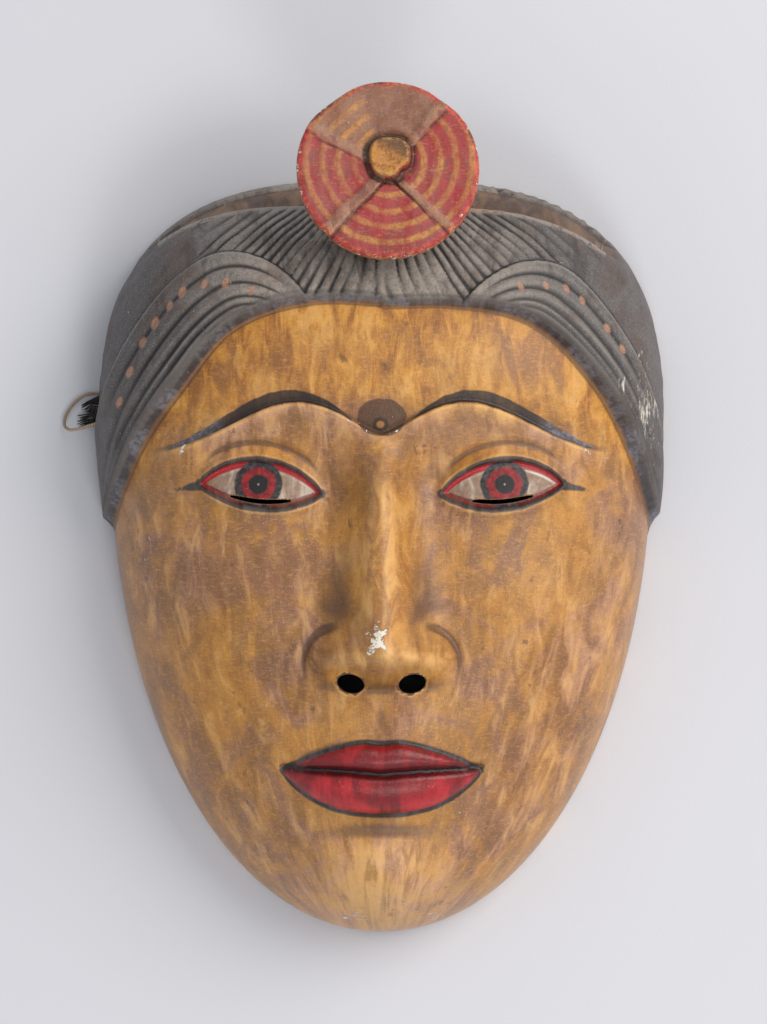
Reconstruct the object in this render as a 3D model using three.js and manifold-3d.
// A carved and painted wooden dance mask, lying face up on its back rim, in millimetres.
// +Z is the way the face looks, +Y is the top of the head and +X is the viewer's right.
// The mask is one hollow carving: face, hair and the round hair ornament are the same wood.
// A dark head cord lies loose in the hollow with a knot at each end, and a thin twine ties its
// left knot to the hole in the temple beside it.
import * as THREE from "three";
import { mergeVertices } from "three/addons/utils/BufferGeometryUtils.js";
import Module from "manifold-3d";

const wasm = await Module();
wasm.setup();

// ---- Driving dimensions -------------------------------------------------------------------

// The shell is a dome: its plan is a superellipse about (0, eyeLevelY) and so is its section.
const body = {
  halfWidth: 68.6, // of the wood under the hair
  centreY: 15.6, // the level of the greatest width
  topReach: 65.4, // from centreY up to the top of the head
  chinReach: 122.2, // from centreY down to the chin
  topPower: 3,
  chinPower: 2.04,
  depth: 52, // from the rim plane to the front of the dome
  sectionPower: 2.4,
  wall: 9, // thickness of the sides
  frontWall: 10, // thickness behind the face
};

// A dome's mesh is a ball whose front rimPolar of polar angle becomes the dome; the rest shuts
// it below the rim plane, where it is cut off.
const ball = { outerDetail: 22, hollowDetail: 9, rimPolar: 2.4, crowding: 1.16, below: 8 };
const flatness = 0.2; // neighbouring facets this near to one plane become one

// The hair's lines are laid out on a plan drawn from eyeHeight above the rim plane, true to
// size at its own level, with its middle at middleY.
const plan = { eyeHeight: 1594, level: 10, middleY: 1.6 };

// The hairline and the locks' tops are distances on the plan from the hairline's foot. The
// hairline has one for every radialStep degrees, from the side of the head up to the middle.
const hair = {
  footY: -6,
  radialStep: 18,
  lineLeft: [70.1, 65.8, 62.8, 64, 61.3, 58],
  lineRight: [70.2, 67.4, 66.4, 65.6, 60.3, 57.4],
  thickness: 3.4,
  lockLeft: { start: 72, top: 81 }, // combed over the temple, from this many degrees down
  lockRight: { start: 69.8, top: 79.5 },
  lockProud: 1.5,
};

const rim = { archRadius: 60, archHeight: 4.2, archY: 25.6 };

// Face height runs from the top edge of the mask to the chin, in equal thirds.
const faceTop = body.centreY + body.topReach + hair.thickness;
const faceChin = body.centreY - body.chinReach;
const third = (faceTop - faceChin) / 3;
const browY = faceTop - third;
const noseBaseY = faceTop - 2 * third;
const mouthY = noseBaseY - third / 3;
const eyeWidth = (2 * body.halfWidth) / 5 + 2.5;

const brow = { outer: 55, lift: 8.5, drop: 4, proud: 1.5, cut: 1.2 };

const eye = {
  x: eyeWidth,
  y: browY - 15,
  half: eyeWidth / 2,
  tilt: 1.2,
  upper: 6.8,
  lower: 4.6,
  lidStep: 1.4,
  irisRadius: 5.6,
  slitWidth: 1.1,
  slitSpan: 0.5,
};

const nose = {
  rootY: browY - 2,
  tipY: noseBaseY + 8.5,
  height: 16.5,
  bridgeHalf: 5.8,
  wingX: 11,
  wingRadius: 5.8,
  nostrilX: 7.6,
  nostrilHalf: [3.4, 2.4],
};

const mouth = { half: 24.5, upper: 7.4, lower: 10.6, proud: 3.4 };

// Along the top the hair ends in an edge; behind it lies a bare band, and a bead at the rim.
const crown = { half: 60, band: 7.5, bandCut: 1.8, bead: 6, beadProud: 1.8 };

const disc = {
  x: 1.5,
  y: 84.4,
  radius: 22.3,
  thickness: 7,
  frontZ: 56,
  tilt: THREE.MathUtils.degToRad(8),
  edgeRound: 1.4,
  bossRadius: 4.9,
  bossHeight: 2.6,
  bossAt: [0.5, 2.9], // on the plate
  ribWidth: 3,
  ribProud: 0.9,
  ribAngles: [50, 150, 226, 316],
  stemRadius: 14, // of the neck that carries it, at its back
  stemRoot: [0, 59.6, 24], // the middle of the neck's root inside the head
};

const tie = {
  holeRadius: 1.6,
  holeY: 22.6,
  holeZ: 9,
  cordRadius: 1.5,
  twineRadius: 0.4,
  knotRing: 2.1,
};

// ---- Small helpers ------------------------------------------------------------------------

const { PI, abs, sin, cos, exp, hypot, min, max, sqrt, sign, atan2, floor } = Math;
const { clamp, degToRad, radToDeg } = THREE.MathUtils;
const smooth = (from, to, x) => {
  const t = clamp((x - from) / (to - from), 0, 1);
  return t * t * (3 - 2 * t);
};
const mound = (dx, dy, rx, ry) => exp(-((dx / rx) ** 2) - (dy / ry) ** 2);

function solidOf(geometry) {
  const bare = geometry.clone();
  bare.deleteAttribute("normal");
  bare.deleteAttribute("uv");
  const merged = mergeVertices(bare, 1e-4);
  return new wasm.Manifold(
    new wasm.Mesh({
      numProp: 3,
      vertProperties: merged.attributes.position.array,
      triVerts: new Uint32Array(merged.index.array),
    }),
  );
}

function geometryOf(solid) {
  const mesh = solid.getMesh();
  return new THREE.BufferGeometry()
    .setAttribute("position", new THREE.BufferAttribute(mesh.vertProperties, 3))
    .setIndex(new THREE.BufferAttribute(mesh.triVerts, 1));
}

// ---- The dome -----------------------------------------------------------------------------

// Distance in plan from the centre to the outline, in the direction of (x, y).
function outlineRadius(x, y, inset) {
  const flat = hypot(x, y);
  const [cosine, sine] = flat > 1e-9 ? [x / flat, y / flat] : [1, 0];
  const reach = (sine >= 0 ? body.topReach : body.chinReach) - inset;
  const power = sine >= 0 ? body.topPower : body.chinPower;
  const across = abs(cosine) / (body.halfWidth - inset);
  return (across ** power + (abs(sine) / reach) ** power) ** (-1 / power);
}

// The place on a dome, inset from the outer one, of a direction on the unit ball.
function domePoint(direction, inset, depth) {
  const polar = Math.acos(clamp(direction.z, -1, 1));
  const flat = hypot(direction.x, direction.y) || 1;
  const turn = (min(polar / ball.rimPolar, 1) ** ball.crowding * PI) / 2;
  const power = body.sectionPower;
  const reach = (sin(turn) ** power + abs(cos(turn)) ** power) ** (-1 / power);
  const past = max(0, (polar - ball.rimPolar) / (PI - ball.rimPolar));
  const out = (reach * sin(turn) * (1 - past) * outlineRadius(direction.x, direction.y, inset)) / flat;
  const up = past > 0 ? -ball.below * min(1, 6 * past) : reach * cos(turn) * depth;
  return new THREE.Vector3(out * direction.x, body.centreY + out * direction.y, up);
}

// The dome's outward normal, from the gradient of its implicit function.
function domeNormal(point) {
  const level = (x, y, z) => {
    const out = hypot(x, y - body.centreY) / outlineRadius(x, y - body.centreY, 0);
    return out ** body.sectionPower + (max(0, z) / body.depth) ** body.sectionPower;
  };
  const { x, y, z } = point;
  const step = 0.05;
  return new THREE.Vector3(
    level(x + step, y, z) - level(x - step, y, z),
    level(x, y + step, z) - level(x, y - step, z),
    z > 0 ? level(x, y, z + step) - level(x, y, z - step) : 0,
  ).normalize();
}

// ---- Relief of the face, along Z ----------------------------------------------------------

function browLine(across) {
  const t = clamp(across / brow.outer, 0, 1);
  return browY - 1.5 + brow.lift * (0.5 - 0.5 * cos(2 * PI * t ** 0.75)) - brow.drop * t ** 2;
}

// The forehead is cut back above the brow line, which leaves a crisp ledge.
function browRelief(across, y) {
  const above = y - browLine(across);
  const side = smooth(-0.8, 0.8, above);
  const ledge = brow.proud * exp(min(above, 0) / 9);
  const cut = brow.cut * exp(-max(above, 0) / 12);
  const fade = smooth(brow.outer + 6, brow.outer - 10, across);
  return ((1 - side) * ledge - side * cut) * fade;
}

// How far a point is inside the almond opening, in mm, and less than 0 outside it.
function eyeInside(across, y) {
  const u = (across - eye.x) / eye.half;
  const axis = eye.y + eye.tilt * u;
  if (abs(u) >= 1) return -hypot(across - eye.x - sign(u) * eye.half, y - axis);
  const lid = y > axis ? eye.upper * (1 - u * u) ** 0.8 : eye.lower * (1 - u * u) ** 0.9;
  return lid - abs(y - axis);
}

function eyeRelief(across, y) {
  const inside = eyeInside(across, y);
  const socket = 6.5 * mound(across - eye.x + 2, y - eye.y - 3, 19, 11);
  const corner = 4 * mound(across - 13, y - eye.y - 1, 8, 10);
  const lids = 5.6 * mound(across - eye.x, y - eye.y, 17, 9.5);
  const lidEdge = 0.9 * mound(inside + 1.3, 0, 1.4, 1);
  const crease = 0.9 * mound(inside + 4.4, 0, 1, 1) * smooth(eye.y + 2, eye.y + 5, y);
  const opening = eye.lidStep * smooth(-0.5, 0.6, inside);
  return lids + lidEdge - socket - corner - crease - opening;
}

function noseRelief(across, y) {
  const t = clamp((nose.rootY - y) / (nose.rootY - nose.tipY), 0, 1);
  const under = smooth(noseBaseY - 1.5, nose.tipY - 1, y);
  const ridge = nose.height * (0.3 * smooth(0, 0.3, t) + 0.7 * t) * under;
  const half = nose.bridgeHalf + 3.6 * t ** 1.5;
  const tip = 2 * mound(across, y - nose.tipY - 1, 8, 6);
  const wingY = noseBaseY + 5.6;
  const wing = 9.5 * mound(across - nose.wingX, y - wingY, nose.wingRadius, 6.2);
  const round = hypot((across - nose.wingX) / 6.8, (y - wingY) / 7.4);
  const crease = 1.2 * mound(round - 1.2, 0, 0.2, 1) * smooth(nose.wingX - 2, nose.wingX + 4, across);
  return ridge * exp(-((across / half) ** 2.1)) + (tip + wing - crease) * under;
}

function cheekRelief(across, y) {
  const cheek = 3.4 * mound(across - 38, y - noseBaseY - 14, 19, 20);
  const muzzle = 4.4 * mound(across, y - mouthY - 2, 28, 20);
  const chinRise = 6.5 * mound(across, y - mouthY + 28, 18, 11.5);
  const chinCrease = 2.2 * mound(across, y - mouthY + 15, 15, 4);
  return cheek + muzzle + chinRise - chinCrease;
}

// Heights of the lips' upper and lower edges and of the line between them, at v from -1 to 1.
function lipEdges(v) {
  const bow = 1 - 0.13 * mound(v, 0, 0.13, 1);
  return {
    top: mouthY + mouth.upper * (1 - abs(v) ** 1.6) ** 0.95 * bow,
    middle: mouthY - 0.7 * mound(v, 0, 0.25, 1) + 0.9 * v * v,
    bottom: mouthY - mouth.lower * (1 - abs(v) ** 2.4) ** 0.85,
  };
}

function mouthRelief(across, y) {
  const v = across / mouth.half;
  const groove = v < 1.08 ? 1.5 * mound(0, y - lipEdges(min(v, 1)).middle, 1, 1.1) : 0;
  if (v >= 1) return -groove * smooth(1.08, 1, v);
  const { top, middle, bottom } = lipEdges(v);
  const edge = y > middle ? top : bottom;
  const t = (y - middle) / (edge - middle);
  const lip = t < 1 ? mouth.proud * max(0, sin(PI * min(1, 0.12 + 0.8 * t))) ** 0.7 : 0;
  const philtrum = 0.9 * mound(across, y - noseBaseY + 8, 3, 6.5);
  return lip * sqrt(1 - v * v) - groove - philtrum;
}

function faceRelief(x, y) {
  const across = abs(x);
  return (
    browRelief(across, y) +
    eyeRelief(across, y) +
    noseRelief(across, y) +
    cheekRelief(across, y) +
    mouthRelief(across, y)
  );
}

// ---- Relief of the hair, along the dome's normal ------------------------------------------

// Where a point of the hair falls on the plan.
function onPlan(point, normal) {
  const raised = point.clone().addScaledVector(normal, 2.5);
  const spread = (plan.eyeHeight - plan.level) / (plan.eyeHeight - raised.z);
  return [raised.x * spread, raised.y * spread - plan.middleY];
}

// The hairline's distance from the middle of its foot, in a direction given in degrees.
function hairline(angle, left) {
  const [own, other] = left ? [hair.lineLeft, hair.lineRight] : [hair.lineRight, hair.lineLeft];
  const knots = [2 * own[0] - own[1] + 1.5, ...own, other[own.length - 2]];
  const spot = clamp(angle / hair.radialStep, -0.999, own.length - 1.001);
  const low = floor(spot);
  const t = spot - low;
  const near = [0, 1, 2, 3].map((k) => knots[clamp(low + k, 0, knots.length - 1)]);
  const [before, here, after, beyond] = near;
  const bend = (2 * before - 5 * here + 4 * after - beyond) * t ** 2;
  const turn = (3 * here - before - 3 * after + beyond) * t ** 3;
  return here + ((after - before) * t + bend + turn) / 2;
}

// How far a place on the plan is above the hairline, in mm, and less than 0 on the face; and
// the direction of that place from the hairline's foot, in degrees.
function hairDepth(x, y) {
  const rise = y - hair.footY;
  const angle = radToDeg(atan2(rise, abs(x)));
  const line = hairline(angle, x < 0);
  const lean = (hairline(angle + 2, x < 0) - hairline(angle - 2, x < 0)) / degToRad(4) / line;
  const depth = (hypot(x, rise) - line) / hypot(1, lean) - 0.8 * max(0, -3 - rise);
  return { depth, angle };
}

// How far a place on the plan is inside the lock that is combed over the temple.
function lockInside(x, { depth, angle }) {
  const { start, top } = x < 0 ? hair.lockLeft : hair.lockRight;
  if (angle > start || angle < -8) return -depth;
  const rise = sin((PI / 2) * clamp((start - angle) / 17, 0, 1)) ** 0.75;
  const fall = angle < 54 ? 0.2 * (hypot(54 - angle, 6) - 6) : 0;
  return rise * (top - fall - hairline(angle, x < 0)) - depth;
}

// How far a point on the dome is inside the bare band along the top.
function bandInside(x, y) {
  const inset = outlineRadius(x, y - body.centreY, 0) - hypot(x, y - body.centreY);
  const taper = max(0, 1 - (x / crown.half) ** 2);
  const width = crown.band * taper ** (x < 0 ? 1.1 : 0.55);
  return y > body.centreY ? width - inset : -inset;
}

function hairRelief(point, normal) {
  const [x, y] = onPlan(point, normal);
  const place = hairDepth(x, y);
  const thick = hair.thickness * smooth(-0.3, 1.6, place.depth) * (0.7 + 0.3 * smooth(-6, 30, y));
  const high = 0.25 + 0.75 * smooth(-4, 30, place.angle);
  const over = smooth(-1, 1, lockInside(x, place)) * smooth(0, 2, place.depth);
  const lock = (hair.lockProud * high + 0.3) * over;
  const top = smooth(crown.half, crown.half - 8, abs(x)) * smooth(30, 40, y);
  const bare = smooth(-0.7, 0.7, bandInside(point.x, point.y)) * top;
  const offBead = abs(point.z - crown.bead / 2) / (crown.bead / 2 + 1);
  const bead = crown.beadProud * sqrt(max(0, 1 - offBead ** 2));
  return thick + (1 - bare) * lock + bare * (bead - crown.bandCut);
}

// ---- The carving --------------------------------------------------------------------------

function outerForm() {
  const form = new THREE.IcosahedronGeometry(1, ball.outerDetail);
  const places = form.attributes.position;
  const direction = new THREE.Vector3();
  for (let i = 0; i < places.count; i++) {
    direction.fromBufferAttribute(places, i).normalize();
    const point = domePoint(direction, 0, body.depth);
    const normal = domeNormal(point);
    const relief = hairRelief(point, normal);
    if (point.z > 0) point.z += faceRelief(point.x, point.y) * smooth(0, 12, point.z);
    point.addScaledVector(normal, relief);
    places.setXYZ(i, ...point);
  }
  return solidOf(form);
}

// The hollow follows the dome at the wall's thickness, and deepens behind the nose.
function hollowForm() {
  const form = new THREE.IcosahedronGeometry(1, ball.hollowDetail);
  const places = form.attributes.position;
  const direction = new THREE.Vector3();
  for (let i = 0; i < places.count; i++) {
    direction.fromBufferAttribute(places, i).normalize();
    const point = domePoint(direction, body.wall, body.depth - body.frontWall);
    const behindNose = 11 * mound(point.x, point.y - nose.tipY - 6, 10, 24);
    if (point.z > 0) point.z += behindNose * smooth(0, 20, point.z);
    places.setXYZ(i, ...point);
  }
  return solidOf(form);
}

function placed(geometry, { at = [0, 0, 0], turn = [0, 0, 0] }) {
  const move = new THREE.Object3D();
  move.position.set(...at);
  move.rotation.set(...turn);
  move.updateMatrix();
  return solidOf(geometry.applyMatrix4(move.matrix));
}

// Everything below the rim plane, and the arch that lifts the rim beside the temples.
function belowRim() {
  const floor = placed(new THREE.BoxGeometry(400, 400, 60), { at: [0, 0, -30] });
  const arch = placed(new THREE.CylinderGeometry(rim.archRadius, rim.archRadius, 400, 96), {
    at: [0, rim.archY, rim.archHeight - rim.archRadius],
    turn: [0, 0, PI / 2],
  });
  return floor.add(arch);
}

function nostril(side) {
  const shape = new THREE.Shape().absellipse(0, 0, ...nose.nostrilHalf, 0, 2 * PI, false, side * 0.25);
  const hole = new THREE.ExtrudeGeometry(shape, { depth: 120, bevelEnabled: false, curveSegments: 12 });
  return placed(hole, { at: [side * nose.nostrilX, noseBaseY + 0.6, -5] });
}

// The narrow slot along the lower lid that the wearer looks through.
function eyeSlit(side) {
  const steps = 10;
  const lower = (u) => eye.y + eye.tilt * u - eye.lower * (1 - u * u) ** 0.9 + 0.9;
  const us = Array.from({ length: steps + 1 }, (_, i) => eye.slitSpan * ((2 * i) / steps - 1));
  const point = (u, lift) => new THREE.Vector2(side * (eye.x + u * eye.half), lower(u) + lift);
  const upperEdge = us.map((u) => point(u, eye.slitWidth * (1 - 0.6 * (u / eye.slitSpan) ** 4)));
  const outline = [...us.map((u) => point(u, 0)), ...upperEdge.reverse()];
  const slot = new THREE.ExtrudeGeometry(new THREE.Shape(outline), { depth: 120, bevelEnabled: false });
  return placed(slot, { at: [0, 0, -5] });
}

function tieHoles() {
  const drill = new THREE.CylinderGeometry(tie.holeRadius, tie.holeRadius, 400, 12);
  return placed(drill, { at: [0, tie.holeY, tie.holeZ], turn: [0, 0, PI / 2] });
}

// The round ornament: a plate with a rounded edge, a boss, and ribs that quarter its face.
function hairDisc() {
  const { radius, thickness, edgeRound, bossRadius, bossHeight } = disc;
  const profile = new THREE.Path()
    .moveTo(0, -thickness)
    .lineTo(radius - 2, -thickness)
    .lineTo(radius, -edgeRound - 1)
    .lineTo(radius, -edgeRound)
    .absarc(radius - edgeRound, -edgeRound, edgeRound, 0, PI / 2, false)
    .lineTo(0, -0.3);
  const bossProfile = new THREE.Path()
    .moveTo(0, -2)
    .lineTo(bossRadius, -2)
    .lineTo(bossRadius, bossHeight - 1)
    .lineTo(bossRadius - 1, bossHeight)
    .lineTo(0, bossHeight);
  const turned = (path, sides) => new THREE.LatheGeometry(path.getPoints(3), sides).rotateX(PI / 2);
  const boss = turned(bossProfile, 20).translate(...disc.bossAt, 0);
  let solid = solidOf(turned(profile, 40)).add(solidOf(boss));
  for (const angle of disc.ribAngles) {
    const length = radius - bossRadius;
    const rib = new THREE.BoxGeometry(length, disc.ribWidth, 2 + disc.ribProud)
      .translate(bossRadius + length / 2 - 0.7, 0, disc.ribProud / 2 - 1)
      .rotateZ(degToRad(angle));
    solid = solid.add(solidOf(rib));
  }
  const place = new THREE.Matrix4()
    .makeRotationX(-disc.tilt)
    .setPosition(disc.x, disc.y, disc.frontZ);
  return solid.transform(place.elements);
}

// The neck leans back from the ornament into the top of the head.
function discNeck() {
  const pad = (radius) => new THREE.CylinderGeometry(radius, radius, 2, 24).rotateX(PI / 2);
  const backZ = disc.frontZ - disc.thickness + 1;
  const upper = placed(pad(disc.stemRadius), { at: [disc.x, disc.y - 2, backZ] });
  const lower = placed(pad(disc.stemRadius - 2), { at: disc.stemRoot });
  return wasm.Manifold.hull([upper, lower]);
}

function carveMask() {
  let solid = outerForm().add(discNeck()).add(hairDisc());
  for (const cut of [hollowForm(), belowRim(), tieHoles()]) solid = solid.subtract(cut);
  for (const side of [-1, 1]) solid = solid.subtract(nostril(side)).subtract(eyeSlit(side));
  return geometryOf(solid.simplify(flatness));
}

// ---- The tie ------------------------------------------------------------------------------

// A round cord along a smooth line through the points, shut at both ends.
function cordSolid(points, radius, sides, step) {
  const curve = new THREE.CatmullRomCurve3(points.map((p) => new THREE.Vector3(...p)));
  const count = Math.ceil(curve.getLength() / step);
  const { normals, binormals } = curve.computeFrenetFrames(count);
  const positions = [];
  const index = [];
  for (let i = 0; i <= count; i++) {
    const centre = curve.getPointAt(i / count);
    for (let j = 0; j < sides; j++) {
      const turn = (2 * PI * j) / sides;
      const out = normals[i].clone().multiplyScalar(cos(turn)).addScaledVector(binormals[i], sin(turn));
      positions.push(...centre.clone().addScaledVector(out, radius));
      const [a, b] = [i * sides + j, i * sides + ((j + 1) % sides)];
      if (i < count) index.push(a, b, a + sides, b, b + sides, a + sides);
    }
  }
  for (let j = 1; j < sides - 1; j++) {
    const last = count * sides;
    index.push(0, j + 1, j, last, last + j, last + j + 1);
  }
  return new wasm.Manifold(
    new wasm.Mesh({
      numProp: 3,
      vertProperties: new Float32Array(positions),
      triVerts: new Uint32Array(index),
    }),
  );
}

// Three crossed turns of the cord, drawn tight on their middle.
function knot(at) {
  const ring = () => new THREE.TorusGeometry(tie.knotRing, tie.cordRadius, 6, 10);
  const turns = [
    [0, 0, 0],
    [1.15, 0.5, 0],
    [-1.15, 0.5, 0],
  ].map((turn) => placed(ring(), { at, turn }));
  const middle = placed(new THREE.IcosahedronGeometry(tie.knotRing + 0.6, 1), { at });
  return turns.reduce((all, turn) => all.add(turn), middle);
}

const knotPlace = (side) => [side * 53, tie.holeY + 2, 3.8];

// The head cord runs from knot to knot round the chin side of the hollow, on the floor. Its
// left end goes out under the rim.
function headCord() {
  const { cordRadius } = tie;
  const low = cordRadius + 0.15;
  const path = [
    [-74.4, 25.4, low],
    [-66, 25, low],
    [-58, 24.6, low + 0.6],
    knotPlace(-1),
    [-47, 19.6, low + 0.8],
    [-43, 5.6, low],
    [-40, -20.4, low],
    [-30, -48.4, low],
    [-10, -64.4, low],
    [13, -62.4, low],
    [29, -42.4, low],
    [35, -16.4, low],
    [40, 5.6, low],
    [47, 19.6, low + 0.8],
    knotPlace(1),
    [59, 25.6, low],
  ];
  const line = cordSolid(path, cordRadius, 6, 5);
  return line.add(knot(knotPlace(-1))).add(knot(knotPlace(1)));
}

// The twine starts on the left knot, goes out by the hole, hangs in a slack loop and comes
// back in under the rim.
function twineLoop() {
  const { holeY, holeZ, twineRadius } = tie;
  const path = [
    [-52, holeY + 4.4, 8.4],
    [-57.5, holeY + 1.5, 9.4],
    [-61, holeY, holeZ],
    [-71.5, holeY - 0.2, holeZ],
    [-76.4, holeY - 1.4, 6.6],
    [-79.6, holeY - 1.6, 3.4],
    [-80.7, holeY - 0.4, 1.8],
    [-80.3, holeY + 2, 1],
    [-78.4, holeY + 5, 0.7],
    [-75.4, holeY + 7.2, 0.6],
    [-71, holeY + 7.6, 0.6],
    [-62, holeY + 7.2, 0.75],
    [-56.5, holeY + 7.2, 1],
  ];
  return cordSolid(path, twineRadius, 5, 2);
}

// ---- The mask and its tie -----------------------------------------------------------------

const paint = new THREE.MeshStandardMaterial({ color: "#9a6f3c", roughness: 0.45, metalness: 0 });

const mask = new THREE.Mesh(carveMask(), paint);
mask.name = "mask";

const dyedCord = new THREE.MeshStandardMaterial({ color: "#2b211d", roughness: 0.9, metalness: 0 });
const strap = new THREE.Mesh(geometryOf(headCord()), dyedCord);
strap.name = "head_strap";

const fibre = new THREE.MeshStandardMaterial({ color: "#a98a62", roughness: 0.9, metalness: 0 });
const twine = new THREE.Mesh(geometryOf(twineLoop()), fibre);
twine.name = "twine_left";

const group = new THREE.Group();
group.add(mask, strap, twine);

export default group;
